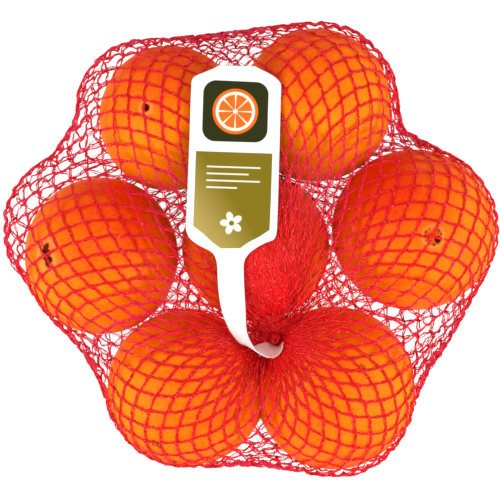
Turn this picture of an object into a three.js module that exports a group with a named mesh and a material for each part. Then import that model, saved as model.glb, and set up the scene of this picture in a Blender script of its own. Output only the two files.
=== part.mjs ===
// A red knitted net bag that holds seven oranges, with a white film label looped round its neck.
// Millimetres, +Z up. The origin lies on the table under the middle of the pack. +X and +Y are
// right and up as the pack is seen from above, where its neck lies in a hollow near the front.
import * as THREE from "three";

const { degToRad, lerp } = THREE.MathUtils;

// The net: a knitted strand's thickness, and the necks that close the bag on top and underneath.
const STRAND = 1;
const NECK = { x: 11.6, y: -41.6, radius: 2.3, low: 46.5, high: 61 };
const FOOT = { x: -1.4, y: 43.7, radius: 3, low: 5 };

// How finely the net's surface is laid out, in columns round it and rows from neck to foot.
const COLUMNS = 80;
const SIDE_ROWS = 8;
const FACE_ROWS = 14;
const SIDE = { radius: 37, sweep: 66 }; // the round side of the pack, which takes closer rows
const ROUNDS = 900;

// Each orange by its plan centre and half-sizes. All stand on the net, which they press a little.
const ORANGES = {
  backLeft: { x: -37.6, y: 62.0, rx: 33.2, ry: 34.1, rz: 33.6 },
  backRight: { x: 31.0, y: 68.2, rx: 35.2, ry: 36.0, rz: 35.4 },
  left: { x: -69.8, y: -2.6, rx: 36.0, ry: 36.8, rz: 36.0 },
  middle: { x: 2.8, y: 1.4, rx: 34.6, ry: 34.4, rz: 34.4 },
  right: { x: 76.8, y: 9.4, rx: 38.4, ry: 37.8, rz: 37.6 },
  frontLeft: { x: -30.8, y: -64.8, rx: 36.0, ry: 36.4, rz: 36.2 },
  frontRight: { x: 41.4, y: -64.8, rx: 35.4, ry: 38.2, rz: 36.4 },
};
const PRESSED = 0.6; // an orange's lowest point above the table, on a strand that gives

// The pack's outline from above, anticlockwise: an arc round each outer orange, where the net
// stands off it, and the waists between them, where the loose net hangs lower.
const ARC_Z = 35;
const WAIST_Z = 27;
const BELT = 6; // the upright band at the outline reaches this far up and down
const OUTLINE = [
  { x: 77.1, y: 9.4, rx: 39.9, ry: 39.5, from: -30, to: 52 },
  { waist: [[82.3, 51.2], [72.4, 57.3]] },
  { x: 32.0, y: 68.6, rx: 38.1, ry: 39.0, from: 0, to: 100 },
  { waist: [[-16.5, 102.0]] },
  { x: -47.9, y: 65.3, rx: 34.3, ry: 34.3, from: 85, to: 185 },
  { waist: [[-85.5, 57.3], [-92.6, 45.1]] },
  { x: -81.3, y: 10.3, rx: 35.5, ry: 35.5, from: 125, to: 228 },
  { waist: [[-96.4, -30.1], [-83.2, -43.2], [-71.4, -61.1]] },
  { x: -30.6, y: -64.6, rx: 37.8, ry: 37.8, from: 198, to: 275 },
  { waist: [[5.6, -102.0]] },
  { x: 41.4, y: -64.6, rx: 37.2, ry: 42.3, from: 262, to: 350 },
  { waist: [[84.6, -56.4], [92.6, -44.7], [101.0, -31.0]] },
];
const ARC_STEP = 20; // degrees

// The label: one strip of film with a panel, a strap and a loop round the neck. Each station is
// [x, y, z] of its middle, its half-width, and how far it is rolled over to its left, in degrees.
const FILM = 0.7;
const STATIONS = [
  [-6.1, 85.7, 66.6, 7.8, 0],
  [-6.2, 80.6, 67.6, 19.0, 0],
  [-6.3, 78.4, 67.9, 20.9, 0],
  [-7.4, 44.0, 70.0, 21.0, 0],
  [-8.8, 8.5, 71.1, 21.2, 0],
  [-9.0, 5.2, 71.1, 19.8, 0],
  [-9.0, -0.9, 71.0, 8.7, 0],
  [-9.1, -4.0, 70.6, 6.7, 0],
  [-9.1, -7.0, 70.0, 6.1, 2],
  [-8.9, -14.1, 67.7, 6.1, 6],
  [-8.2, -23.5, 64.2, 6.1, 18],
  [-6.9, -31.5, 62.6, 6.1, 36],
  [-4.7, -38.5, 62.9, 6.1, 56],
  [-1.4, -43.7, 63.2, 6.1, 74],
  [2.3, -47.0, 61.6, 6.1, 90],
  [5.4, -47.9, 59.6, 6.1, 108],
  [8.3, -47.8, 58.4, 5.9, 116],
  [11.0, -47.2, 57.6, 5.2, 112],
  [13.6, -45.8, 57.2, 4.2, 100],
  [15.0, -43.0, 57.0, 2.6, 94],
];
const STRIP_ROWS = 3; // rows of the strip to each stretch between two stations
const STRIP_ACROSS = 4;

const NET_RED = new THREE.MeshStandardMaterial({ color: 0xd81c26, roughness: 0.45, metalness: 0 });
const FILM_WHITE = new THREE.MeshStandardMaterial({ color: 0xf6f6f2, roughness: 0.35, metalness: 0 });

// The pack's outline as a ring of evenly spaced points, one for each column.
function outlineRing() {
  const stations = [];
  for (const part of OUTLINE) {
    if (part.waist) {
      part.waist.forEach(([x, y]) => stations.push(new THREE.Vector3(x, y, WAIST_Z)));
      continue;
    }
    const steps = Math.round((part.to - part.from) / ARC_STEP);
    for (let k = 0; k <= steps; k++) {
      const a = degToRad(lerp(part.from, part.to, k / steps));
      const [x, y] = [part.x + part.rx * Math.cos(a), part.y + part.ry * Math.sin(a)];
      stations.push(new THREE.Vector3(x, y, ARC_Z));
    }
  }
  const curve = new THREE.CatmullRomCurve3(stations, true, "centripetal");
  curve.arcLengthDivisions = 2000;
  return curve.getSpacedPoints(COLUMNS).slice(0, COLUMNS);
}

// The share of the way from the outline to a neck, row by row: close rows on the round side.
function rowShares(length) {
  const shares = [];
  for (let k = 0; k <= SIDE_ROWS; k++) {
    const angle = degToRad((SIDE.sweep * k) / SIDE_ROWS);
    shares.push((SIDE.radius * (1 - Math.cos(angle))) / length);
  }
  const inner = shares[SIDE_ROWS];
  for (let k = 1; k <= FACE_ROWS; k++) shares.push(lerp(inner, 1, k / FACE_ROWS));
  return shares;
}

// One face of the bag as rows of points from the outline to the ring of a neck.
function layOut(outline, neck) {
  const rows = Array.from({ length: SIDE_ROWS + FACE_ROWS + 1 }, () => []);
  for (const rim of outline) {
    const bearing = Math.atan2(rim.y - neck.y, rim.x - neck.x);
    const end = new THREE.Vector3(Math.cos(bearing), Math.sin(bearing), 0)
      .multiplyScalar(neck.radius)
      .add(new THREE.Vector3(neck.x, neck.y, neck.low));
    const length = Math.hypot(rim.x - end.x, rim.y - end.y);
    rowShares(length).forEach((share, i) => rows[i].push(rim.clone().lerp(end, share)));
  }
  return rows;
}

// How high the oranges hold the net at a place, or how low, for side 1 or -1.
function heldAt(x, y, side) {
  let z = side > 0 ? 0 : Infinity;
  for (const o of Object.values(ORANGES)) {
    const q = ((x - o.x) / (o.rx + STRAND)) ** 2 + ((y - o.y) / (o.ry + STRAND)) ** 2;
    if (q >= 1) continue;
    const surface = PRESSED + o.rz + side * (o.rz + STRAND) * Math.sqrt(1 - q);
    z = side > 0 ? Math.max(z, surface) : Math.min(z, surface);
  }
  return side > 0 ? z : Math.max(z, 0);
}

// A point's four neighbours in a face, with the pull of each, which fades with its distance.
function neighbours(rows, i, j) {
  const p = rows[i][j];
  const [next, last] = [(j + 1) % COLUMNS, (j + COLUMNS - 1) % COLUMNS];
  const near = [rows[i - 1][j], rows[i + 1][j], rows[i][next], rows[i][last]];
  const pulls = near.map((q) => 1 / (Math.hypot(p.x - q.x, p.y - q.y) + STRAND / 2));
  const total = pulls.reduce((a, b) => a + b);
  return near.map((q, k) => ({ q, share: pulls[k] / total }));
}

// Draws one face tight over the oranges: each point goes to the level of its neighbours, as far
// as the oranges let it. The outline and the neck stay where they are.
function drawTight(rows, side) {
  const free = [];
  for (let i = 1; i < rows.length - 1; i++) {
    for (let j = 0; j < COLUMNS; j++) {
      const p = rows[i][j];
      free.push({ p, near: neighbours(rows, i, j), limit: heldAt(p.x, p.y, side) });
    }
  }
  for (let round = 0; round < ROUNDS; round++) {
    for (const { p, near, limit } of free) {
      let level = 0;
      for (const { q, share } of near) level += q.z * share;
      p.z = side > 0 ? Math.max(level, limit) : Math.max(Math.min(level, limit), 0);
    }
  }
  return rows;
}

// A closed surface from rings of points, with a point that closes each end.
function skinOf(rows) {
  const points = rows.flat();
  const middleOf = (row) => row.reduce((sum, p) => sum.add(p), new THREE.Vector3()).divideScalar(row.length);
  const top = points.push(middleOf(rows[0])) - 1;
  const bottom = points.push(middleOf(rows[rows.length - 1])) - 1;
  const faces = [];
  for (let i = 0; i < rows.length - 1; i++) {
    for (let j = 0; j < COLUMNS; j++) {
      const k = (j + 1) % COLUMNS;
      const [a, b] = [i * COLUMNS + j, i * COLUMNS + k];
      const [c, d] = [a + COLUMNS, b + COLUMNS];
      faces.push(a, c, b, b, c, d);
    }
  }
  for (let j = 0; j < COLUMNS; j++) {
    const k = (j + 1) % COLUMNS;
    const last = (rows.length - 1) * COLUMNS;
    faces.push(top, j, k);
    faces.push(bottom, last + k, last + j);
  }
  const geometry = new THREE.BufferGeometry().setFromPoints(points);
  geometry.setIndex(faces);
  return geometry;
}

function netBag() {
  const outline = outlineRing();
  const shifted = (dz) => outline.map((p) => new THREE.Vector3(p.x, p.y, p.z + dz));
  const upper = drawTight(layOut(shifted(BELT), NECK), 1).reverse();
  const lower = drawTight(layOut(shifted(-BELT), FOOT), -1);
  const neck = upper[0].map((p) => new THREE.Vector3(p.x, p.y, NECK.high));
  const mesh = new THREE.Mesh(skinOf([neck, ...upper, ...lower]), NET_RED);
  mesh.name = "net_bag";
  return mesh;
}

// The strip's rows: where its middle is, which way it reaches to its inner side, and how far.
function stripRows() {
  const middle = new THREE.CatmullRomCurve3(STATIONS.map(([x, y, z]) => new THREE.Vector3(x, y, z)));
  const up = new THREE.Vector3(0, 0, 1);
  const last = STATIONS.length - 1;
  return Array.from({ length: last * STRIP_ROWS + 1 }, (_, n) => {
    const t = n / (last * STRIP_ROWS);
    const k = Math.min(Math.floor(n / STRIP_ROWS), last - 1);
    const between = n / STRIP_ROWS - k;
    const half = lerp(STATIONS[k][3], STATIONS[k + 1][3], between);
    const roll = degToRad(lerp(STATIONS[k][4], STATIONS[k + 1][4], between));
    const heading = middle.getTangent(t);
    const level = up.clone().cross(heading).normalize();
    const rise = heading.clone().cross(level);
    const across = level.multiplyScalar(Math.cos(roll)).addScaledVector(rise, Math.sin(roll));
    const normal = heading.clone().cross(across).normalize();
    return { centre: middle.getPoint(t), across, normal, half };
  });
}

// One face of the strip as a grid of points, half a film's thickness to a side of its middle.
function stripFace(rows, side) {
  return rows.flatMap(({ centre, across, normal, half }) =>
    Array.from({ length: STRIP_ACROSS + 1 }, (_, m) =>
      centre
        .clone()
        .addScaledVector(across, half * lerp(-1, 1, m / STRIP_ACROSS))
        .addScaledVector(normal, (side * FILM) / 2),
    ),
  );
}

function label() {
  const rows = stripRows();
  const points = [...stripFace(rows, 1), ...stripFace(rows, -1)];
  const width = STRIP_ACROSS + 1;
  const under = rows.length * width;
  const faces = [];
  const quad = (a, b, c, d) => faces.push(a, b, c, a, c, d);
  for (let n = 0; n < rows.length - 1; n++) {
    for (let m = 0; m < STRIP_ACROSS; m++) {
      const [a, b] = [n * width + m, n * width + m + 1];
      quad(a, a + width, b + width, b);
      quad(under + b, under + b + width, under + a + width, under + a);
    }
    const [left, right] = [n * width, n * width + STRIP_ACROSS];
    quad(left, under + left, under + left + width, left + width);
    quad(right, right + width, under + right + width, under + right);
  }
  const end = (rows.length - 1) * width;
  for (let m = 0; m < STRIP_ACROSS; m++) {
    quad(m, m + 1, under + m + 1, under + m);
    quad(end + m, under + end + m, under + end + m + 1, end + m + 1);
  }
  const geometry = new THREE.BufferGeometry().setFromPoints(points);
  geometry.setIndex(faces);
  const mesh = new THREE.Mesh(geometry, FILM_WHITE);
  mesh.name = "label";
  return mesh;
}

const pack = new THREE.Group();
pack.add(netBag(), label());

export default pack;
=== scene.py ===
"""A red knitted net bag of oranges with a white film label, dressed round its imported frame.

Metres, +Z up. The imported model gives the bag's outer form, and everything here is laid on it: seven
oranges on the table, the net drawn over them from its neck on top to its foot underneath, and the
film label that loops round the neck. The camera looks straight down, with +Y at the picture's top.
"""

from __future__ import annotations

import logging
import math
from dataclasses import dataclass, field
from enum import Enum
from typing import Any

import bmesh
import bpy
import numpy as np
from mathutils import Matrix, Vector
from mathutils.bvhtree import BVHTree

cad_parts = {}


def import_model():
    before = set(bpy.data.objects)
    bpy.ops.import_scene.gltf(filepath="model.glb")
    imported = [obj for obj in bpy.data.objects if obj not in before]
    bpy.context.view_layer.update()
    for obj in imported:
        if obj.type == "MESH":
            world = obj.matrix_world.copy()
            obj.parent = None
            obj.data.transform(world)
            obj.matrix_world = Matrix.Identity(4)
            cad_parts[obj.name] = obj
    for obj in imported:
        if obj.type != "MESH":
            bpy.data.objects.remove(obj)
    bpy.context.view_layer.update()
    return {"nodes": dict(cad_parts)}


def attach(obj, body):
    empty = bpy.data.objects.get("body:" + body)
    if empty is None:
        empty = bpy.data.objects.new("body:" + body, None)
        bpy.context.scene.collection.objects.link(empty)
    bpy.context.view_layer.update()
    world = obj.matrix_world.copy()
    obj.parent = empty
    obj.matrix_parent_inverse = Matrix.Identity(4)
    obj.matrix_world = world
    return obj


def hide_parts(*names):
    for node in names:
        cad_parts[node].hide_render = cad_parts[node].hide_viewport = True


LOG = logging.getLogger("net_of_oranges")
Colour = tuple[float, float, float]
Hump = tuple[float, float, float]

# The picture's side in pixels, what one pixel is at the pack's mid height, and that height, in metres.
PHOTO_SIDE = 500
PIXEL = 0.00047
TABLE_TO_MIDDLE = 0.036
# Keeps a length that is divided by off zero.
TINY = 1e-9


def plan(column: float, row: float) -> tuple[float, float]:
    """Gives the place that a pixel of the picture shows at the pack's mid height.

    Args:
        column: Pixels from the picture's left edge.
        row: Pixels from its top edge.

    Returns:
        x and y in metres.
    """
    half = PHOTO_SIDE / 2
    return (column - half) * PIXEL, (half - row) * PIXEL


def directions(ways: np.ndarray) -> np.ndarray:
    """Gives each way the length 1."""
    return ways / np.maximum(np.linalg.norm(ways, axis=-1, keepdims=True), TINY)


def write_values(mesh: bpy.types.Mesh, values: dict[str, np.ndarray]) -> None:
    """Writes values on a mesh's points.

    Args:
        mesh: The mesh.
        values: A number or a vector for each point, under the name that it is read by.
    """
    for name, given in values.items():
        flat = given.ndim == 1
        layer = mesh.attributes.new(name, "FLOAT" if flat else "FLOAT_VECTOR", "POINT")
        layer.data.foreach_set("value" if flat else "vector", given.ravel())


def placed(name: str, data: bpy.types.ID) -> bpy.types.Object:
    """Puts a mesh, a lamp or a camera in the scene.

    Args:
        name: The new object's name.
        data: What it shows.

    Returns:
        The object.
    """
    made = bpy.data.objects.new(name, data)
    bpy.context.scene.collection.objects.link(made)
    return made


class Link:
    """A node's output that arithmetic can be written on."""

    def __init__(self, sheet: Sheet, socket: bpy.types.NodeSocket) -> None:
        """Keeps the socket and the sheet that new nodes go on."""
        self.sheet = sheet
        self.socket = socket

    def other(self, name: str) -> Link:
        """Gives another output of the same node."""
        return Link(self.sheet, self.socket.node.outputs[name])

    def maths(self, operation: str, *others: Link | float, clamp: bool = False) -> Link:
        """Adds a Math node that takes this value first."""
        settings = {"operation": operation, "use_clamp": clamp}
        return self.sheet.node("ShaderNodeMath", settings, dict(enumerate((self, *others))))

    def __add__(self, other: Link | float) -> Link:
        """Adds."""
        return self.maths("ADD", other)

    __radd__ = __add__

    def __mul__(self, other: Link | float) -> Link:
        """Multiplies."""
        return self.maths("MULTIPLY", other)

    __rmul__ = __mul__

    def __sub__(self, other: Link | float) -> Link:
        """Subtracts."""
        return self.maths("SUBTRACT", other)

    def __rsub__(self, other: float) -> Link:
        """Takes this value from a number."""
        return self.sheet.value(other).maths("SUBTRACT", self)

    def __truediv__(self, other: Link | float) -> Link:
        """Divides."""
        return self.maths("DIVIDE", other)

    def clamped(self) -> Link:
        """Holds the value between 0 and 1."""
        return self.maths("MULTIPLY", 1.0, clamp=True)

    def within(self, limit: float, soft: float) -> Link:
        """Gives 1 where the value is below a limit and 0 above it, with a soft step between."""
        return ((limit - self) / soft + 0.5).clamped()

    def hypot(self, other: Link) -> Link:
        """Gives the length of a way whose two parts are this value and another."""
        return (self * self + other * other).maths("SQRT")


class Sheet:
    """A node tree, for a material or for geometry, that is written as expressions."""

    def __init__(self, tree: bpy.types.NodeTree) -> None:
        """Keeps the tree."""
        self.tree = tree

    def node(
        self,
        kind: str,
        settings: dict[str, Any] | None = None,
        sockets: dict[str | int, Any] | None = None,
        output: str | int = 0,
    ) -> Link:
        """Adds a node.

        Args:
            kind: The node's type.
            settings: Its properties, which are set first.
            sockets: The value of each input, or the link that drives it.
            output: The output to give back.

        Returns:
            That output.
        """
        made = self.tree.nodes.new(kind)
        for name, setting in (settings or {}).items():
            setattr(made, name, setting)
        for name, given in (sockets or {}).items():
            if isinstance(given, Link):
                self.tree.links.new(given.socket, made.inputs[name])
            else:
                made.inputs[name].default_value = given
        return Link(self, made.outputs[output])

    def end(self, kind: str, name: str, link: Link) -> None:
        """Adds the node that ends the tree, fed by a link."""
        made = self.tree.nodes.new(kind)
        self.tree.links.new(link.socket, made.inputs[name])

    def value(self, number: float) -> Link:
        """Adds a fixed number.

        Args:
            number: The number.

        Returns:
            It as a link.
        """
        made = self.node("ShaderNodeValue")
        made.socket.default_value = number
        return made

    def mix(self, share: Link | float, first: Link | Colour, second: Link | Colour) -> Link:
        """Mixes two colours.

        Args:
            share: The second colour's share, from 0 to 1.
            first: The colour where the share is 0.
            second: The colour where it is 1.

        Returns:
            The mixed colour.
        """
        # Among the node's sockets for all its kinds of data, inputs 6 and 7 and output 2 are the colours.
        colours = [c if isinstance(c, Link) else (*c, 1.0) for c in (first, second)]
        sockets = {0: share, 6: colours[0], 7: colours[1]}
        return self.node("ShaderNodeMix", {"data_type": "RGBA"}, sockets, output=2)

    def vector(self, operation: str, *vectors: Link) -> Link:
        """Adds a Vector Math node."""
        return self.node("ShaderNodeVectorMath", {"operation": operation}, dict(enumerate(vectors)))

    def scaled(self, vector: Link, factor: Link | float) -> Link:
        """Makes a vector longer or shorter."""
        sockets = {0: vector, "Scale": factor}
        return self.node("ShaderNodeVectorMath", {"operation": "SCALE"}, sockets)


class Paint(Sheet):
    """A material's nodes, which end in one Principled shader."""

    def __init__(self, name: str) -> None:
        """Makes an empty material.

        Args:
            name: Its name.
        """
        self.material = bpy.data.materials.new(name)
        self.material.use_nodes = True
        self.material.node_tree.nodes.clear()
        super().__init__(self.material.node_tree)

    def place(self) -> Link:
        """Gives the point's place on the object, in metres."""
        return self.node("ShaderNodeTexCoord", output="Object")

    def attribute(self, name: str) -> Link:
        """Reads a number that the mesh holds for each vertex."""
        return self.node("ShaderNodeAttribute", {"attribute_name": name}, output="Fac")

    def noise(self, place: Link, size: float, detail: float = 2.0) -> Link:
        """Adds noise whose lumps have a size in metres."""
        sockets = {"Vector": place, "Scale": 1.0 / size, "Detail": detail}
        return self.node("ShaderNodeTexNoise", None, sockets)

    def finish(self, sockets: dict[str, Any]) -> bpy.types.Material:
        """Ends the tree in a Principled shader.

        Args:
            sockets: The value of each of the shader's inputs, or the link that drives it.

        Returns:
            The material.
        """
        shader = self.node("ShaderNodeBsdfPrincipled", None, sockets)
        self.end("ShaderNodeOutputMaterial", "Surface", shader)
        return self.material


@dataclass(frozen=True)
class PeelFinish:
    """Waxy orange peel: mottled orange with fine oil pits, brown and pale marks, and painted shade that
    deepens the orange to red.
    """

    # ripe is the peel's colour on its lit sides; deep is its red, which each orange's ripeness, the
    # painted shade and the oil pits mix in.
    ripe: Colour = (0.97, 0.235, 0.002)
    deep: Colour = (0.82, 0.035, 0.0007)
    brown: Colour = (0.11, 0.009, 0.003)
    pale: Colour = (0.80, 0.40, 0.13)
    cloud_size: float = 0.018
    cloud_share: float = 0.7
    speckle_size: float = 0.0014
    speckle_share: float = 0.55
    pit_spacing: float = 0.0013
    pit_reach: float = 0.28
    pit_softness: float = 0.35
    pit_share: float = 0.27
    pit_depth: float = 0.00006
    lump_size: float = 0.0035
    lump_height: float = 0.8
    bump: float = 0.5
    roughness: float = 0.52
    dry_roughness: float = 0.3
    speckle_roughness: float = 0.12
    specular: float = 0.06

    def build(self) -> bpy.types.Material:
        """Builds the material.

        Returns:
            The peel's material, which reads each orange's ripeness with its painted shade, and its brown
            and pale marks.
        """
        paint = Paint("orange_peel")
        place = paint.place()
        cloud = paint.noise(place, self.cloud_size, detail=3.0) - 0.5
        speckle = paint.noise(place, self.speckle_size, detail=1.0) - 0.5
        mottled = cloud * self.cloud_share + speckle * self.speckle_share
        # The attribute holds each orange's ripeness and its painted shade; both move the colour from ripe
        # towards deep.
        skin = paint.mix((paint.attribute("ripeness_and_painted_shade") + mottled).clamped(), self.ripe, self.deep)
        sockets = {"Vector": place, "Scale": 1.0 / self.pit_spacing}
        pits = paint.node("ShaderNodeTexVoronoi", {"feature": "SMOOTH_F1"}, sockets)
        hollow = pits.within(self.pit_reach, self.pit_softness)
        skin = paint.mix(hollow * self.pit_share, skin, self.deep)
        scuffed = paint.mix(paint.attribute("pale"), skin, self.pale)
        brown = paint.attribute("brown")
        height = (1.0 - hollow) + paint.noise(place, self.lump_size) * self.lump_height
        bump = {"Strength": self.bump, "Distance": self.pit_depth, "Height": height}
        dry = brown * self.dry_roughness + speckle * self.speckle_roughness
        return paint.finish(
            {
                "Base Color": paint.mix(brown, scuffed, self.brown),
                "Roughness": self.roughness + dry,
                "Normal": paint.node("ShaderNodeBump", None, bump),
                "Specular IOR Level": self.specular,
            }
        )


@dataclass(frozen=True)
class TwineFinish:
    """Glossy red knitted plastic yarn, with painted pale pink glints and a painted cooler red where it
    hangs free with the light behind it.
    """

    red: Colour = (0.85, 0.006, 0.009)
    # The cooler red painted where the yarn hangs free, standing in for the light behind it.
    hanging_backlit: Colour = (0.78, 0.008, 0.050)
    # A painted highlight colour, laid on the yarn as small glints.
    painted_glint: Colour = (0.93, 0.20, 0.24)
    fibre_size: float = 0.0009
    painted_glint_above: float = 0.63
    painted_glint_contrast: float = 7.0
    roughness: float = 0.26
    fibre_roughness: float = 0.2
    specular: float = 0.2

    def build(self) -> bpy.types.Material:
        """Builds the material.

        Returns:
            The yarn's material, which reads where the yarn hangs free and paints the light behind it there
            as a cooler red.
        """
        paint = Paint("net_yarn")
        fibre = paint.noise(paint.place(), self.fibre_size, detail=1.0)
        # Painted pale pink glints, where the fibre noise is high, stand in for highlights on the glossy
        # yarn.
        share = ((fibre - self.painted_glint_above) * self.painted_glint_contrast).clamped()
        # Where the yarn hangs free, the light behind it is painted in as a cooler red.
        yarn = paint.mix(paint.attribute("hanging_backlit"), self.red, self.hanging_backlit)
        return paint.finish(
            {
                "Base Color": paint.mix(share, yarn, self.painted_glint),
                "Roughness": self.roughness + fibre * self.fibre_roughness,
                "Specular IOR Level": self.specular,
            }
        )


class MarkKind(Enum):
    """What a mark on the peel is."""

    STEM_PIT = "a small open pit with a pale rim"
    BARE_PIT = "a small open pit"
    BUTTON = "a dry brown star, where the stalk broke off"
    RING_SCAR = "a rough ring round a dark pit"
    SCAR = "a thin brown curved scar"
    FLECK = "a small grey-brown speck"
    SCUFF = "a pale scratch"


@dataclass(frozen=True)
class Mark:
    """One mark on the upper side of an orange, with its place on the plan and its turn in degrees."""

    kind: MarkKind
    at: tuple[float, float]
    size: float
    turn: float = 0.0


@dataclass
class Orange:
    """One orange: an uneven ball with its marks, standing on the table.

    Its ripeness is how deep its colour is all over, and each deep way is painted shade: a way off its
    centre to a side that lies in shade, and how much deeper red the peel is painted there.
    """

    name: str
    centre: tuple[float, float]
    half_sizes: tuple[float, float, float]
    marks: list[Mark] = field(default_factory=list)
    ripeness: float = 0.2
    painted_shade_ways: tuple[tuple[float, float, float, float], ...] = ((0.0, 0.62, 0.78, 0.75),)
    seed: int = 0

    PRESSED = 0.0006
    GAP = 0.00002
    SWELLS = 7
    SWELL_PITCH = 2.2
    UNEVEN = 0.012
    LEVELS = 6
    REFINED = 3
    MARK_REACH = 1.5
    MARGIN = 0.001
    PAINTED_SHADE_FALL = 1.5

    @property
    def middle(self) -> np.ndarray:
        """Where its centre is."""
        return np.array([*self.centre, self.PRESSED + self.half_sizes[2]])

    def ball(self) -> bmesh.types.BMesh:
        """Makes the plain ball, with finer faces round each mark.

        Returns:
            The ball, of radius 1 round the origin.
        """
        made = bmesh.new()
        bmesh.ops.create_icosphere(made, subdivisions=self.LEVELS, radius=1.0)
        directions = [Vector(self.direction(mark)) for mark in self.marks]
        for level in range(self.REFINED, 0, -1):
            near: set[bmesh.types.BMVert] = set()
            for mark, direction in zip(self.marks, directions):
                reach = (mark.size * self.MARK_REACH + self.MARGIN * level) / self.half_sizes[0]
                near.update(v for v in made.verts if (v.co - direction).length < reach)
            edges = [e for e in made.edges if e.verts[0] in near and e.verts[1] in near]
            bmesh.ops.subdivide_edges(made, edges=edges, cuts=1, use_grid_fill=True)
            for vertex in made.verts:
                vertex.co.normalize()
        bmesh.ops.triangulate(made, faces=made.faces)
        return made

    def direction(self, mark: Mark) -> np.ndarray:
        """Gives the way to a mark from the centre of the plain ball."""
        flat = (np.array(mark.at) - np.array(self.centre)) / np.array(self.half_sizes[:2])
        return np.array([*flat, math.sqrt(max(1.0 - float(flat @ flat), 0.0))])

    def swell(self, unit: np.ndarray) -> np.ndarray:
        """Gives how far the uneven ball reaches each way.

        Args:
            unit: Points of the plain ball.

        Returns:
            The reach at each, as a share of the plain ball's.
        """
        rng = np.random.default_rng(self.seed)
        total = np.ones(unit.shape[:-1])
        for _ in range(self.SWELLS):
            way = rng.normal(size=3)
            phase = rng.uniform(0, math.tau)
            total += self.UNEVEN * np.sin(unit @ way * self.SWELL_PITCH + phase) / self.SWELLS
        return total

    def pressed(self, points: np.ndarray, others: list[Orange]) -> np.ndarray:
        """Flattens the peel where other oranges press on it.

        Args:
            points: Places on the peel.
            others: All the oranges of the pack.

        Returns:
            The places on the flattened peel.
        """
        for other in others:
            if other is self:
                continue
            apart = other.middle - self.middle
            distance = float(np.linalg.norm(apart))
            way = apart / distance
            reaches = [1 / np.linalg.norm(way / np.array(o.half_sizes)) for o in (self, other)]
            overlap = max(sum(reaches) - distance, 0.0)
            limit = reaches[0] - overlap / 2 - self.GAP
            beyond = np.maximum((points - self.middle) @ way - limit, 0.0)
            points = points - (beyond * (overlap > 0))[:, None] * way
        return points

    def build(self, peel: bpy.types.Material, others: list[Orange]) -> bpy.types.Object:
        """Builds the piece.

        Args:
            peel: The peel's material.
            others: All the oranges of the pack.

        Returns:
            The orange's object.
        """
        ball = self.ball()
        mesh = bpy.data.meshes.new(self.name)
        ball.to_mesh(mesh)
        ball.free()
        unit = np.empty(len(mesh.vertices) * 3)
        mesh.vertices.foreach_get("co", unit)
        unit = unit.reshape(-1, 3)
        brown, pale, sunk = (np.zeros(len(unit)) for _ in range(3))
        for mark in self.marks:
            shape = MarkShape(mark, self.direction(mark), self.half_sizes[0], self.seed)
            sunk += shape.depth(unit)
            brown = np.maximum(brown, shape.brown(unit))
            pale = np.maximum(pale, shape.pale(unit))
        spread = np.array(self.half_sizes) * unit
        points = self.middle + spread * self.swell(unit)[..., None] - unit * sunk[:, None]
        points = self.pressed(points, others)
        points[:, 2] = np.maximum(points[:, 2], self.PRESSED)
        mesh.vertices.foreach_set("co", points.ravel())
        # The peel's own ripeness, with painted shade added towards each deep way.
        ripeness_and_painted_shade = np.full(len(unit), self.ripeness)
        for *way, depth in self.painted_shade_ways:
            ripeness_and_painted_shade += depth * np.clip(unit @ np.array(way), 0.0, 1.0) ** self.PAINTED_SHADE_FALL
        write_values(mesh, {"brown": brown, "pale": pale, "ripeness_and_painted_shade": ripeness_and_painted_shade})
        mesh.materials.append(peel)
        mesh.shade_smooth()
        return placed(self.name, mesh)


@dataclass(frozen=True)
class Star:
    """A brown star with uneven rays, whose reach and softness are shares of its mark's size."""

    lobes: int
    raggedness: float
    reach: float
    softness: float
    tone: float


@dataclass(frozen=True)
class Arc:
    """A thin line on part of a circle, whose width is a share of its mark's size."""

    width: float
    gain: float
    cut: float
    tone: float


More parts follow.
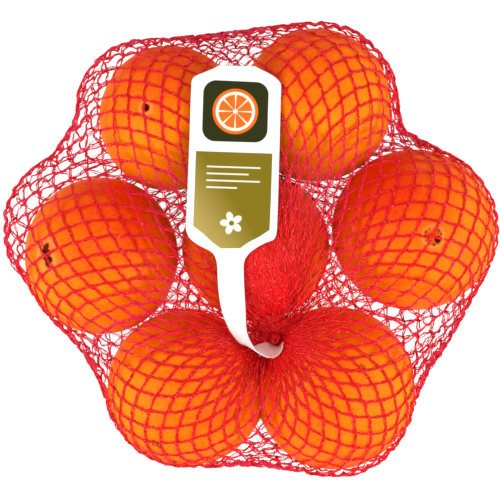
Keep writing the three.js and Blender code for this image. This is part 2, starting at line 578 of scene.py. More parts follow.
class MarkShape:
    """How deep and how coloured the peel is round one mark.

    A hump is its height, and its crest's distance and its width as shares of the mark's size.
    """

    PIT_DEPTH: tuple[Hump, ...] = ((0.0016, 0.0, 0.6), (-0.0003, 1.15, 0.4))
    DEPTHS: dict[MarkKind, tuple[Hump, ...]] = {
        MarkKind.STEM_PIT: PIT_DEPTH,
        MarkKind.BARE_PIT: PIT_DEPTH,
        MarkKind.BUTTON: ((0.0007, 0.0, 1.1), (-0.0005, 0.0, 0.35)),
        MarkKind.RING_SCAR: ((0.0009, 0.0, 0.75), (-0.0004, 1.0, 0.25)),
    }
    ROUGH: Hump = (0.00025, 0.8, 0.25)
    ROUGH_LOBES = 13
    PIT = Star(0, 0.0, 0.85, 0.25, 1.0)
    STARS: dict[MarkKind, Star] = {
        MarkKind.STEM_PIT: PIT,
        MarkKind.BARE_PIT: PIT,
        MarkKind.BUTTON: Star(3, 0.22, 0.78, 0.25, 1.0),
        MarkKind.FLECK: Star(4, 0.45, 0.6, 0.35, 0.75),
    }
    SCAR = Arc(0.12, 2.5, 0.6, 0.8)
    SCUFF = Arc(0.07, 3.0, 1.6, 0.5)
    RING: Hump = (1.0, 0.92, 0.16)
    STAIN: Hump = (0.16, 0.0, 0.8)
    PALE_RIMS: dict[MarkKind, Hump] = {
        MarkKind.STEM_PIT: (0.35, 1.15, 0.35),
        MarkKind.BUTTON: (0.35, 1.15, 0.35),
        MarkKind.RING_SCAR: (0.3, 1.12, 0.2),
    }

    def __init__(self, mark: Mark, direction: np.ndarray, radius: float, seed: int) -> None:
        """Keeps the mark and lays a flat frame on the ball at its place.

        Args:
            mark: The mark.
            direction: The way to it from the ball's centre.
            radius: The orange's radius.
            seed: What its unevenness starts from.
        """
        self.mark = mark
        self.radius = radius
        self.seed = seed
        turn = math.radians(mark.turn)
        self.across = directions(np.cross([math.sin(turn), -math.cos(turn), 0.0], direction))
        self.along = np.cross(direction, self.across)
        self.direction = direction

    def flat(self, unit: np.ndarray) -> tuple[np.ndarray, np.ndarray]:
        """Lays points out round the mark.

        Args:
            unit: Points of the plain ball.

        Returns:
            Each point's distance from the mark over its size, and its bearing from it.
        """
        u, v = unit @ self.across * self.radius, unit @ self.along * self.radius
        away = np.where(unit @ self.direction > 0, np.hypot(u, v), 1.0)
        return away / self.mark.size, np.arctan2(v, u)

    def ragged(self, bearing: np.ndarray, star: Star) -> np.ndarray:
        """Gives an uneven star's reach.

        Args:
            bearing: Bearings from its middle.
            star: The star.

        Returns:
            Its reach at each bearing, as a share of the mark's size.
        """
        phase = self.seed * 1.7
        rays = np.cos(bearing * star.lobes + phase)
        rays = rays + 0.5 * np.cos(bearing * (star.lobes + 2) - phase * 2)
        return (1.0 + star.raggedness * rays) * star.reach

    @staticmethod
    def bump(away: np.ndarray, hump: Hump) -> np.ndarray:
        """Gives a smooth hump's height at each distance."""
        height, middle, width = hump
        return height * np.exp(-(((away - middle) / width) ** 2))

    def arc(self, away: np.ndarray, bearing: np.ndarray, arc: Arc) -> np.ndarray:
        """Gives how strong a thin line is at each place, from 0 to 1."""
        there = np.clip(np.cos(bearing) * arc.gain - arc.cut, 0, 1)
        return arc.tone * self.bump(away, (1.0, 1.0, arc.width)) * there

    def depth(self, unit: np.ndarray) -> np.ndarray:
        """Gives how far the peel is sunk.

        Args:
            unit: Points of the plain ball.

        Returns:
            The depth at each, in metres.
        """
        away, bearing = self.flat(unit)
        sunk = np.zeros(len(unit))
        for hump in self.DEPTHS.get(self.mark.kind, ()):
            sunk += self.bump(away, hump)
        if self.mark.kind is MarkKind.RING_SCAR:
            sunk += np.cos(bearing * self.ROUGH_LOBES) * self.bump(away, self.ROUGH)
        return sunk

    def brown(self, unit: np.ndarray) -> np.ndarray:
        """Gives how brown the peel is.

        Args:
            unit: Points of the plain ball.

        Returns:
            The share of brown at each, from 0 to 1.
        """
        away, bearing = self.flat(unit)
        kind = self.mark.kind
        if kind in self.STARS:
            star = self.STARS[kind]
            return star.tone * np.clip((self.ragged(bearing, star) - away) / star.softness, 0, 1)
        if kind is MarkKind.RING_SCAR:
            # The ring is broken by three wide gaps and eleven narrow ones.
            broken = 0.45 + 0.3 * np.cos(bearing * 3 + 1.0) + 0.25 * np.cos(bearing * 11)
            return np.clip(self.bump(away, self.RING) * broken + self.bump(away, self.STAIN), 0, 1)
        if kind is MarkKind.SCAR:
            return self.arc(away, bearing, self.SCAR)
        return np.zeros(len(unit))

    def pale(self, unit: np.ndarray) -> np.ndarray:
        """Gives how pale and dry the peel is.

        Args:
            unit: Points of the plain ball.

        Returns:
            The share of pale peel at each, from 0 to 1.
        """
        away, bearing = self.flat(unit)
        kind = self.mark.kind
        if kind in self.PALE_RIMS:
            return self.bump(away, self.PALE_RIMS[kind])
        if kind is MarkKind.SCUFF:
            # The scratch skips seventeen times to a turn.
            broken = 0.6 + 0.4 * np.cos(bearing * 17 + self.seed)
            return self.arc(away, bearing, self.SCUFF) * broken
        return np.zeros(len(unit))


@dataclass(frozen=True)
class Gather:
    """A place where the net is drawn together, from its low to its high end."""

    centre: tuple[float, float]
    radius: float
    low: float
    high: float


class Form:
    """The bag's outer form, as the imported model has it."""

    BELT = 0.031
    FAR = 0.2
    BEARINGS = 721

    def __init__(self, node: bpy.types.Object) -> None:
        """Reads the node's faces and its outline seen from above.

        Args:
            node: The node that holds the outer form.
        """
        solid = bmesh.new()
        solid.from_mesh(node.data)
        self.faces = BVHTree.FromBMesh(solid)
        solid.free()
        self.bearings = np.linspace(0.0, math.tau, self.BEARINGS)
        points = []
        for bearing in self.bearings:
            way = Vector((math.cos(bearing), math.sin(bearing), 0.0))
            hit = self.faces.ray_cast(Vector((0, 0, self.BELT)) + way * self.FAR, -way)[0]
            points.append((hit.x, hit.y))
        self.ring = np.array(points)

    def top(self, x: float, y: float) -> float:
        """Gives the height of the upper face over a place."""
        return self.faces.ray_cast(Vector((x, y, self.FAR)), Vector((0, 0, -1)))[0].z

    def bottom(self, x: float, y: float) -> float:
        """Gives the height of the lower face over a place."""
        return self.faces.ray_cast(Vector((x, y, -self.FAR)), Vector((0, 0, 1)))[0].z

    def outline(self, count: int) -> np.ndarray:
        """Gives points spaced evenly round the form, anticlockwise.

        Args:
            count: How many points.

        Returns:
            Their x and y, one row each.
        """
        reached = np.cumsum(np.linalg.norm(np.diff(self.ring, axis=0, prepend=self.ring[:1]), axis=1))
        wanted = np.arange(count) / count * reached[-1]
        return np.column_stack([np.interp(wanted, reached, self.ring[:, c]) for c in (0, 1)])

    def held_in(self, points: np.ndarray, margin: float | np.ndarray) -> np.ndarray:
        """Moves points that stand out past the outline, seen from above, back to it.

        Args:
            points: Places on the net.
            margin: How far inside the outline each has to stay.

        Returns:
            The places, moved where they had to be.
        """
        away = np.linalg.norm(points[..., :2], axis=-1)
        bearing = np.arctan2(points[..., 1], points[..., 0]) % math.tau
        reach = np.interp(bearing, self.bearings, np.linalg.norm(self.ring, axis=1)) - margin
        share = np.minimum(reach / np.maximum(away, TINY), 1.0)
        return points * np.stack([share, share, np.ones_like(share)], axis=-1)


@dataclass
class Net:
    """The knitted net: two families of strands that cross in knots, from the neck to the foot."""

    form: Form
    oranges: list[Orange]
    neck: Gather
    foot: Gather
    columns: int = 56
    rows: int = 42
    mesh: float = 0.0088
    clear: float = 0.00016
    rim_margins: tuple[float, float] = (0.0002, 0.0026)
    funnel: float = 0.5
    funnel_bearing: float = 1.5
    tent_reach: float = 0.012
    face_steps: int = 60
    neck_steps: int = 8
    rim_share: float = 0.9985
    crowding: float = 0.9
    core: float = 0.1
    least_row: float = 0.3
    slack_reach: float = 0.021
    crumple: float = 0.0022
    spring: float = 0.04
    hold: float = 0.03
    slack_hold: float = 0.01
    ease: float = 0.03
    weight: float = 0.00002
    rounds: int = 500
    seed: int = 7

    NEAR = 1.02

    def column_way(self, rim: np.ndarray, share: float) -> np.ndarray:
        """Lays one column's way from the neck over the outline to the foot.

        Args:
            rim: Where the column crosses the outline.
            share: How far out in the neck's bundle the column runs, from 0 to 1.

        Returns:
            Points of the way.
        """
        points: list[tuple[float, float, float]] = []
        start, end = (self.edge_of(gather, rim, share) for gather in (self.neck, self.foot))
        for height in np.linspace(self.neck.high, self.neck.low, self.neck_steps)[:-1]:
            points.append((*start, height))
        for s in np.linspace(0, 1, self.face_steps + 1) ** self.crowding:
            x, y = start + self.bent((rim - start) * min(s, self.rim_share), 1 - s)
            past = max(math.dist((x, y), self.neck.centre) - self.tent_reach, 0.0)
            points.append((x, y, max(self.form.top(x, y), self.neck.low - past)))
        for s in np.linspace(1, 0, self.face_steps + 1):
            x, y = end + (rim - end) * min(s, self.rim_share)
            points.append((x, y, self.form.bottom(x, y)))
        return np.array(points)

    def bent(self, way: np.ndarray, share: float) -> np.ndarray:
        """Turns a way out of the neck towards the orange behind it, where the net is drawn up.

        Args:
            way: The way from the neck to a point.
            share: How near the point is to the neck, from 0 at the outline to 1.

        Returns:
            The turned way.
        """
        off = math.remainder(math.atan2(way[1], way[0]) - self.funnel_bearing, math.tau)
        if abs(off) > math.pi / 2:
            return way
        turn = -0.5 * self.funnel * share * math.sin(2 * off)
        cos, sin = math.cos(turn), math.sin(turn)
        return np.array([way[0] * cos - way[1] * sin, way[0] * sin + way[1] * cos])

    @staticmethod
    def edge_of(gather: Gather, rim: np.ndarray, share: float) -> np.ndarray:
        """Gives the point of a gather that faces a point of the outline."""
        way = rim - np.array(gather.centre)
        return np.array(gather.centre) + way / np.linalg.norm(way) * gather.radius * share

    def lay_out(self) -> tuple[np.ndarray, np.ndarray]:
        """Spaces the knots along the columns, with what the form doesn't need left slack at its side.

        Returns:
            The knots, by row and column, and how slack the net is at each.
        """
        half_columns = 2 * self.columns
        shares = np.sqrt(np.random.default_rng(self.seed).uniform(self.core, 1.0, half_columns))
        outline = self.form.outline(half_columns)
        ways = np.array([self.column_way(rim, share) for rim, share in zip(outline, shares)])
        steps = np.linalg.norm(np.diff(ways, axis=1), axis=2)
        run = self.summed(steps)
        beside = np.linalg.norm(np.roll(ways, -1, axis=0) - ways, axis=2)
        half_width = 0.5 * (beside + np.roll(beside, 1, axis=0))
        least = (self.least_row * self.mesh) ** 2
        row_height = np.sqrt(np.maximum(self.mesh**2 - half_width**2, least))
        rim_at = self.neck_steps + self.face_steps
        at_rim = run[:, rim_at - 1 : rim_at + 1].mean(axis=1, keepdims=True)
        slack = np.exp(-(((run - at_rim) / self.slack_reach) ** 2))
        taut_rows = self.summed(steps * self.between(1 / row_height))
        slack_rows = self.summed(steps * self.between(slack / row_height))
        spare = (self.rows - taut_rows[:, -1]) / slack_rows[:, -1]
        row_at = taut_rows + spare[:, None] * slack_rows
        knots = np.empty((self.rows + 1, self.columns, 3))
        looseness = np.empty((self.rows + 1, self.columns))
        for i in range(self.rows + 1):
            for j in range(self.columns):
                k = (2 * j + i % 2) % half_columns
                knots[i, j] = [np.interp(i, row_at[k], ways[k, :, c]) for c in range(3)]
                looseness[i, j] = np.interp(i, row_at[k], slack[k])
        return knots, looseness

    @staticmethod
    def summed(steps: np.ndarray) -> np.ndarray:
        """Adds steps up along each way, from 0."""
        return np.concatenate([np.zeros((len(steps), 1)), np.cumsum(steps, axis=1)], axis=1)

    @staticmethod
    def between(values: np.ndarray) -> np.ndarray:
        """Gives the mean of each two values that follow each other."""
        return 0.5 * (values[:, 1:] + values[:, :-1])

    def push_out(self, points: np.ndarray, margin: float | np.ndarray) -> np.ndarray:
        """Moves points out of the oranges and the table, and back inside the outline.

        Args:
            points: Places on the net.
            margin: How far inside the outline each has to stay.

        Returns:
            The places, moved where they had to be.
        """
        for orange in self.oranges:
            reach = np.array(orange.half_sizes) + self.clear
            away = points - orange.middle
            share = np.linalg.norm(away / reach, axis=-1)
            near = share < self.NEAR
            unit = away[near] / reach / share[near][:, None]
            share[near] /= orange.swell(unit)
            pushed = orange.middle + away / np.maximum(share, TINY)[..., None]
            points = np.where((share < 1)[..., None], pushed, points)
        points[..., 2] = np.maximum(points[..., 2], self.clear)
        return self.form.held_in(points, margin)

    def nearest(self, points: np.ndarray) -> tuple[np.ndarray, np.ndarray]:
        """Finds the nearest orange.

        Args:
            points: Places on the net.

        Returns:
            The distance to the orange nearest to each point, and the way off it.
        """
        nearest = np.full(len(points), np.inf)
        ways = np.zeros_like(points)
        for orange in self.oranges:
            away = (points - orange.middle) / np.array(orange.half_sizes)
            distance = (np.linalg.norm(away, axis=1) - 1.0) * orange.half_sizes[0]
            closer = distance < nearest
            nearest = np.where(closer, distance, nearest)
            ways = np.where(closer[:, None], away / np.array(orange.half_sizes), ways)
        return nearest, directions(ways)

    def joined(self, knots: np.ndarray, start: int, side: int) -> tuple[np.ndarray, np.ndarray, int]:
        """Gives the two ends of one family of strands between rows.

        Args:
            knots: All the knots.
            start: 0 for the strands below even rows, 1 for those below odd rows.
            side: 0 or 1, which of the two strands below each knot.

        Returns:
            The upper knots, the lower knots in the same order, and how far those were rolled.
        """
        upper = knots[start:-1:2]
        lower = knots[start + 1 :: 2][: len(upper)]
        roll = 0 if side == 0 else (1 if start == 0 else -1)
        return upper, np.roll(lower, roll, axis=1), roll

    def pull(self, knots: np.ndarray) -> None:
        """Draws each strand towards its length, once, and short ones by the spring's share.

        Args:
            knots: All the knots, which are moved in place.
        """
        for start in (0, 1):
            for side in (0, 1):
                upper, lower, roll = self.joined(knots, start, side)
                apart = upper - lower
                distance = np.linalg.norm(apart, axis=-1, keepdims=True)
                error = distance - self.mesh
                share = np.where(error > 0, 0.5, 0.5 * self.spring)
                move = share * error * apart / np.maximum(distance, TINY)
                upper -= move
                knots[start + 1 :: 2][: len(upper)] = np.roll(lower + move, -roll, axis=1)

    def below(self, knots: np.ndarray, side: int, rows: int) -> np.ndarray:
        """Gives each knot's neighbour in another row.

        Args:
            knots: All the knots.
            side: -1 or 1, the side that the neighbour is on.
            rows: 1 for the next row towards the foot, -1 for the one before.

        Returns:
            The neighbours, in the knots' order.
        """
        moved = np.roll(knots, -rows, axis=0)
        odd = (np.arange(len(knots)) % 2 == 1)[:, None, None]
        if side < 0:
            return np.where(odd, moved, np.roll(moved, 1, axis=1))
        return np.where(odd, np.roll(moved, -1, axis=1), moved)

    def settle(self) -> tuple[np.ndarray, np.ndarray]:
        """Draws the laid-out net tight over the oranges and lets the rest hang loose.

        Returns:
            The settled knots, by row and column, and how slack the net is at each.
        """
        laid, looseness = self.lay_out()
        rng = np.random.default_rng(self.seed)
        stir = rng.normal(size=laid.shape)
        stir = 0.5 * stir + 0.125 * sum(np.roll(stir, s, axis=a) for s in (1, -1) for a in (0, 1))
        knots = laid + stir * self.crumple * looseness[..., None]
        margins = rng.uniform(*self.rim_margins, looseness.shape)
        hold = (self.hold + self.slack_hold * looseness**2)[..., None]
        ease = self.ease * looseness[1:-1, :, None]
        for _ in range(self.rounds):
            knots[..., 2] -= self.weight
            knots += hold * (laid - knots)
            around = [self.below(knots, side, rows) for side in (-1, 1) for rows in (-1, 1)]
            knots[1:-1] += ease * (0.25 * sum(around) - knots)[1:-1]
            self.pull(knots)
            knots = self.push_out(knots, margins)
            knots[:2], knots[-1] = laid[:2], laid[-1]
        return knots, looseness


@dataclass(frozen=True)
class Carrier:
    """Points, the lines that join them, and what each point holds."""

    points: np.ndarray
    edges: list[tuple[int, int]]
    held: dict[str, np.ndarray]


@dataclass
class Strands:
    """The yarn of the net, as lines through its knots."""

    net: Net
    label: Label
    knot_length: float = 0.0015
    knot_offset: float = 0.00026
    knot_lift: float = 0.00014
    tuft_height: float = 0.0014
    tuft_heights: tuple[float, float] = (0.2, 1.6)
    tuft_splay: float = 0.0005
    tuft_drawn: float = 0.75
    inner_points: int = 3
    most_bow: float = 0.003
    taut_bow: float = 0.15
    slack_gain: float = 1.5
    bow_shown: float = 0.7
    bow_off: float = 0.7
    bow_outward: float = 3.0
    waver: float = 0.00008
    kinked: float = 0.14
    spread_reach: float = 0.040
    front_share: float = 0.6
    behind_share: float = 0.7
    neck_spread: float = 1.2
    hanging_spread: float = 0.7
    bound_radii: float = 3.0
    bound_share: float = 0.8
    drawn_reach: float = 0.030
    hanging_reach: float = 0.006
    underside: float = 0.02
    seed: int = 11

    def frames(self, knots: np.ndarray) -> tuple[np.ndarray, np.ndarray, np.ndarray]:
        """Lays a frame at each knot.

        Args:
            knots: The settled knots, by row and column.

        Returns:
            The ways down, across and off the net at each.
        """
        net = self.net
        near = {(side, rows): net.below(knots, side, rows) for side in (-1, 1) for rows in (-1, 1)}
        down = near[-1, 1] + near[1, 1] - near[-1, -1] - near[1, -1]
        down[0] = knots[1] - knots[0]
        down[-1] = knots[-1] - knots[-2]
        down = directions(down)
        across = np.roll(knots, -1, axis=1) - np.roll(knots, 1, axis=1)
        across = directions(across - (across * down).sum(axis=-1, keepdims=True) * down)
        return down, across, np.cross(down, across)

    def lines(self, knots: np.ndarray, looseness: np.ndarray) -> list[np.ndarray]:
        """Leads each strand through its knots.

        Args:
            knots: The settled knots, by row and column.
            looseness: How slack the net is at each.

        Returns:
            One list of points for each strand.
        """
        net = self.net
        down, across, out = self.frames(knots)
        rng = np.random.default_rng(self.seed)
        lines = []
        for heading in (1, -1):
            for strand in range(net.columns):
                rows = np.arange(net.rows + 1)
                shift = rows // 2 if heading > 0 else -((rows + 1) // 2)
                pick = (rows, (strand + shift) % net.columns)
                over = heading * np.where((pick[0] // 2 + pick[1]) % 2 == 0, 1, -1) + 1
                lift = (self.knot_lift * over)[:, None] * out[pick]
                half = 0.5 * self.knot_length * down[pick]
                side = heading * self.knot_offset * across[pick]
                enter, leave = knots[pick] - half - side + lift, knots[pick] + half + side + lift
                away = directions(knots[pick] * np.array([1.0, 1.0, 0.0]))
                outward = self.bow_outward * looseness[pick][:, None] ** 2
                bias = self.bow_off * out[pick] + outward * away
                slack = np.minimum(self.slack_gain * looseness[pick], 1.0)
                slack = self.taut_bow + (1 - self.taut_bow) * slack
                lines.append(self.thread(enter, leave, bias, slack, rng))
        return lines

    def thread(
        self,
        enter: np.ndarray,
        leave: np.ndarray,
        bias: np.ndarray,
        slack: np.ndarray,
        rng: np.random.Generator,
    ) -> np.ndarray:
        """Joins a strand's knots, bowed out where the yarn between two is longer than the gap.

        Args:
            enter: Where the strand comes into each knot.
            leave: Where it comes out of each.
            bias: The way that a slack strand tends to bow at each knot.
            slack: How much of its spare length shows as a bow there.
            rng: The source of the bows' directions.

        Returns:
            The strand's points in order, from its loose end over the neck.
        """
        yarn = self.net.mesh - self.knot_length
        splay = rng.normal(size=3) * self.tuft_splay
        splay[2] = self.tuft_height * rng.uniform(*self.tuft_heights)
        splay[:2] += (np.array(self.net.neck.centre) - enter[0, :2]) * self.tuft_drawn
        points = [enter[0] + splay, enter[0] + splay * 0.5 + rng.normal(size=3) * self.waver, enter[0]]
        for k in range(len(enter) - 1):
            chord = enter[k + 1] - leave[k]
            gap = max(float(np.linalg.norm(chord)), TINY)
            bow = min(2 / math.pi * math.sqrt(max(gap * (yarn - gap), 0.0)), self.most_bow) * slack[k]
            way = rng.normal(size=3) + bias[k]
            way = directions(way - way @ chord / gap**2 * chord)
            points.append(leave[k])
            kink = self.waver + self.kinked * bow
            for share in np.arange(1, self.inner_points + 1) / (self.inner_points + 1):
                shown = self.bow_shown * bow * math.sin(math.pi * share)
                points.append(leave[k] + chord * share + way * shown + rng.normal(size=3) * kink)
            points.append(enter[k + 1])
        points.append(leave[-1])
        points = self.net.push_out(np.array(points), self.net.rim_margins[0])
        points[:, 2] = np.minimum(points[:, 2], self.label.ceiling(points))
        return points

    def gathered(self, points: np.ndarray) -> np.ndarray:
        """Says how closely the neck gathers the net, from 1 at the neck to 0 well away from it.

        Args:
            points: Places on the net.

        Returns:
            One share for each place.
        """
        away = points[:, :2] - np.array(self.net.neck.centre)
        distance = np.linalg.norm(away, axis=1)
        behind = 0.5 + 0.5 * away[:, 1] / np.maximum(distance, TINY)
        reach = self.spread_reach * (self.front_share + self.behind_share * behind)
        return np.exp(-((distance / reach) ** 2)) * (points[:, 2] > self.underside)

    def hanging_backlit(self, points: np.ndarray, clear: np.ndarray) -> np.ndarray:
        """Says where single strands hang free, with the light behind them.

        Args:
            points: Places on the net.
            clear: Their distances from the nearest orange.

        Returns:
            From 0 on an orange or in the neck's gathers to 1 well off both.
        """
        hanging = np.clip(clear / self.hanging_reach, 0.0, 1.0)
        return hanging * (1.0 - np.minimum(2.0 * self.gathered(points), 1.0))

    def spread(self, points: np.ndarray, clear: np.ndarray) -> np.ndarray:
        """Says how loosely a strand is twisted: most so round the neck, and where it hangs free.

        Args:
            points: Places on the strands.
            clear: Their distances from the nearest orange.

        Returns:
            How far the plies stand apart, as a share of the taut strand's.
        """
        distance = np.linalg.norm(points[:, :2] - np.array(self.net.neck.centre), axis=1)
        bound = np.exp(-((distance / (self.bound_radii * self.net.neck.radius)) ** 2))
        hanging = np.clip(clear / self.hanging_reach, 0.0, 1.0)
        loose = 1.0 + self.neck_spread * self.gathered(points) + self.hanging_spread * hanging
        return loose * (1.0 - self.bound_share * bound)

    def carrier(self, lines: list[np.ndarray]) -> Carrier:
        """Gathers lines for the twine tree.

        Args:
            lines: The points of each strand.

        Returns:
            The strands, with the way off the pack, the plies' spread, and how freely each point hangs with
            the light behind it.
        """
        points = np.concatenate(lines)
        starts = np.cumsum([0] + [len(line) for line in lines])
        edges = [(i, i + 1) for a, b in zip(starts, starts[1:]) for i in range(a, b - 1)]
        clear, outward = self.net.nearest(points)
        spread, hanging_backlit = self.spread(points, clear), self.hanging_backlit(points, clear)
        return Carrier(points, edges, {"outward": outward, "spread": spread, "hanging_backlit": hanging_backlit})

    def knots(self, knots: np.ndarray) -> Carrier:
        """Gathers the knots for the knot tree, without those drawn flat round the neck and the foot.

        Args:
            knots: The settled knots, by row and column.

        Returns:
            The kept knots, with the way down the net and how freely each hangs with the light behind it.
        """
        down, _, out = self.frames(knots)
        away = np.linalg.norm(knots[..., :2] - np.array(self.net.neck.centre), axis=-1)
        kept = (away > self.drawn_reach) | (knots[..., 2] < self.underside)
        kept[-1] = False
        points = (knots + out * self.knot_lift)[kept]
        hanging_backlit = self.hanging_backlit(points, self.net.nearest(points)[0])
        return Carrier(points, [], {"down": down[kept], "hanging_backlit": hanging_backlit})


class YarnTree(Sheet):
    """Geometry nodes that grow yarn on a carrier's points and lines."""

    NAME = ""
    SIZES: dict[str, float] = {}

    def __init__(self, material: bpy.types.Material) -> None:
        """Builds the tree.

        Args:
            material: The yarn's material.
        """
        super().__init__(bpy.data.node_groups.new(self.NAME, "GeometryNodeTree"))
        face = self.tree.interface
        face.new_socket("Geometry", in_out="INPUT", socket_type="NodeSocketGeometry")
        for name in self.SIZES:
            face.new_socket(name, in_out="INPUT", socket_type="NodeSocketFloat")
        face.new_socket("Seed", in_out="INPUT", socket_type="NodeSocketInt")
        face.new_socket("Geometry", in_out="OUTPUT", socket_type="NodeSocketGeometry")
        given = self.node("NodeGroupInput")
        self.given = {s.name: given.other(s.name) for s in given.socket.node.outputs if s.name}
        grown = self.grow(self.given["Geometry"])
        real = self.node("GeometryNodeRealizeInstances", None, {"Geometry": grown})
        dressed = {"Geometry": real, "Material": material}
        self.end("NodeGroupOutput", "Geometry", self.node("GeometryNodeSetMaterial", None, dressed))

    def grow(self, carrier: Link) -> Link:
        """Makes the yarn from the carrier."""
        raise NotImplementedError

    def read(self, name: str, kind: str = "FLOAT_VECTOR") -> Link:
        """Reads what the carrier's points hold under a name."""
        return self.node("GeometryNodeInputNamedAttribute", {"data_type": kind}, {"Name": name})

    def build(self, name: str, carrier: Carrier, seed: int) -> bpy.types.Object:
        """Grows one piece.

        Args:
            name: The piece's name.
            carrier: What it grows on.
            seed: What its unevenness starts from.

        Returns:
            The piece, as a plain mesh.
        """
        mesh = bpy.data.meshes.new(name + "_carrier")
        mesh.from_pydata(carrier.points.tolist(), carrier.edges, [])
        write_values(mesh, carrier.held)
        holder = placed(name + "_carrier", mesh)
        modifier = holder.modifiers.new("yarn", "NODES")
        modifier.node_group = self.tree
        for socket in self.tree.interface.items_tree:
            if socket.in_out == "INPUT" and socket.name in self.SIZES:
                modifier[socket.identifier] = self.SIZES[socket.name]
            if socket.in_out == "INPUT" and socket.name == "Seed":
                modifier[socket.identifier] = seed
        return plain_piece(name, holder)


class TwineTree(YarnTree):
    """Winds three thin flat tapes loosely round each line."""

    NAME = "twine"
    SIZES = {
        "Step": 0.0011,
        "Pitch": 0.0095,
        "Ply Offset": 0.00050,
        "Ply Width": 0.00037,
        "Ply Flatness": 0.38,
    }
    PLIES = 3
    PART_STEP = 7.3
    PLY_STEP = 2.1
    UNEVEN_SCALE = 150.0
    UNEVEN_TURN = 4.0
    LEAST_REACH = 0.35
    UNEVEN_REACH = 1.3
    RAISED = 0.16
    TWIST = 12.0
    THINNER_FREE = 0.12

    def grow(self, carrier: Link) -> Link:
        """Makes the plies and joins them.

        Args:
            carrier: The strands' points and lines.

        Returns:
            The yarn.
        """
        curves = self.node("GeometryNodeMeshToCurve", None, {"Mesh": carrier})
        kind = {"spline_type": "CATMULL_ROM"}
        curves = self.node("GeometryNodeCurveSplineType", kind, {"Curve": curves})
        length = {"Curve": curves, "Length": self.given["Step"]}
        curves = self.node("GeometryNodeResampleCurve", {"mode": "LENGTH"}, length)
        joined = self.node("GeometryNodeJoinGeometry")
        for ply in range(self.PLIES):
            wound = self.ply(curves, ply)
            self.tree.links.new(wound.socket, joined.socket.node.inputs[0])
        return joined

    def ply(self, curves: Link, number: int) -> Link:
        """Winds one ply round the lines.

        Args:
            curves: The lines.
            number: Which ply it is.

        Returns:
            The ply's mesh.
        """
        run = self.node("GeometryNodeSplineParameter", output="Length")
        place = self.node("GeometryNodeInputPosition")
        seed = self.given["Seed"] * self.PART_STEP + number * self.PLY_STEP
        sockets = {"Vector": place, "W": seed, "Scale": self.UNEVEN_SCALE, "Detail": 0.0}
        uneven = self.node("ShaderNodeTexNoise", {"noise_dimensions": "4D"}, sockets)
        phase = math.tau * number / self.PLIES
        spread = self.read("spread", "FLOAT")
        turn = run / (self.given["Pitch"] * spread) * math.tau + phase + uneven * self.UNEVEN_TURN
        reach = self.given["Ply Offset"] * spread * (uneven * self.UNEVEN_REACH + self.LEAST_REACH)
        outward = self.read("outward")
        tangent = self.node("GeometryNodeInputTangent")
        side = self.vector("NORMALIZE", self.vector("CROSS_PRODUCT", tangent, outward))
        beside = self.scaled(side, turn.maths("COSINE") * reach)
        above = self.scaled(outward, (turn.maths("SINE") + 1.0) * reach * self.RAISED)
        offset = self.vector("ADD", beside, above)
        moved = self.node("GeometryNodeSetPosition", None, {"Geometry": curves, "Offset": offset})
        tilt = {"Curve": moved, "Tilt": uneven * self.TWIST / (spread * spread) + phase}
        tilted = self.node("GeometryNodeSetCurveTilt", None, tilt)
        ring = {"Resolution": 4, "Radius": self.given["Ply Width"]}
        ring = self.node("GeometryNodeCurvePrimitiveCircle", None, ring)
        flat = self.node("ShaderNodeCombineXYZ", None, {"X": 1.0, "Y": self.given["Ply Flatness"]})
        tape = self.node("GeometryNodeTransform", None, {"Geometry": ring, "Scale": flat})
        width = 1.0 - self.read("hanging_backlit", "FLOAT") * self.THINNER_FREE
        sockets = {"Curve": tilted, "Profile Curve": tape, "Scale": width, "Fill Caps": True}
        return self.node("GeometryNodeCurveToMesh", None, sockets)


class KnotTree(YarnTree):
    """Sets a small coil of yarn round each knot."""

    NAME = "knots"
    SIZES = {
        "Coil Radius": 0.00046,
        "Coil Height": 0.0015,
        "Coil Turns": 1.3,
        "Yarn Radius": 0.00022,
    }

    def grow(self, carrier: Link) -> Link:
        """Makes one coil and sets it on every point.

        Args:
            carrier: The knots' points.

        Returns:
            The coils.
        """
        coil = {
            "Resolution": 6,
            "Rotations": self.given["Coil Turns"],
            "Start Radius": self.given["Coil Radius"],
            "End Radius": self.given["Coil Radius"],
            "Height": self.given["Coil Height"],
        }
        coil = self.node("GeometryNodeCurveSpiral", None, coil)
        drop = self.node("ShaderNodeCombineXYZ", None, {"Z": self.given["Coil Height"] * -0.5})
        coil = self.node("GeometryNodeSetPosition", None, {"Geometry": coil, "Offset": drop})
        ring = {"Resolution": 3, "Radius": self.given["Yarn Radius"]}
        ring = self.node("GeometryNodeCurvePrimitiveCircle", None, ring)
        sockets = {"Curve": coil, "Profile Curve": ring, "Fill Caps": True}
        wound = self.node("GeometryNodeCurveToMesh", None, sockets)
        down = {"Vector": self.read("down")}
        turned = self.node("FunctionNodeAlignRotationToVector", {"axis": "Z"}, down)
        # Among the node's sockets for all its kinds of data, 2 and 3 are a number's least and greatest.
        spin = {"Seed": self.given["Seed"], 2: 0.0, 3: math.tau}
        spin = self.node("FunctionNodeRandomValue", {"data_type": "FLOAT"}, spin, output="Value")
        spun = self.node("ShaderNodeCombineXYZ", None, {"Z": spin})
        sockets = {"Rotation": turned, "Rotate By": spun}
        turned = self.node("FunctionNodeRotateRotation", {"rotation_space": "LOCAL"}, sockets)
        sockets = {"Points": carrier, "Instance": wound, "Rotation": turned}
        return self.node("GeometryNodeInstanceOnPoints", None, sockets)


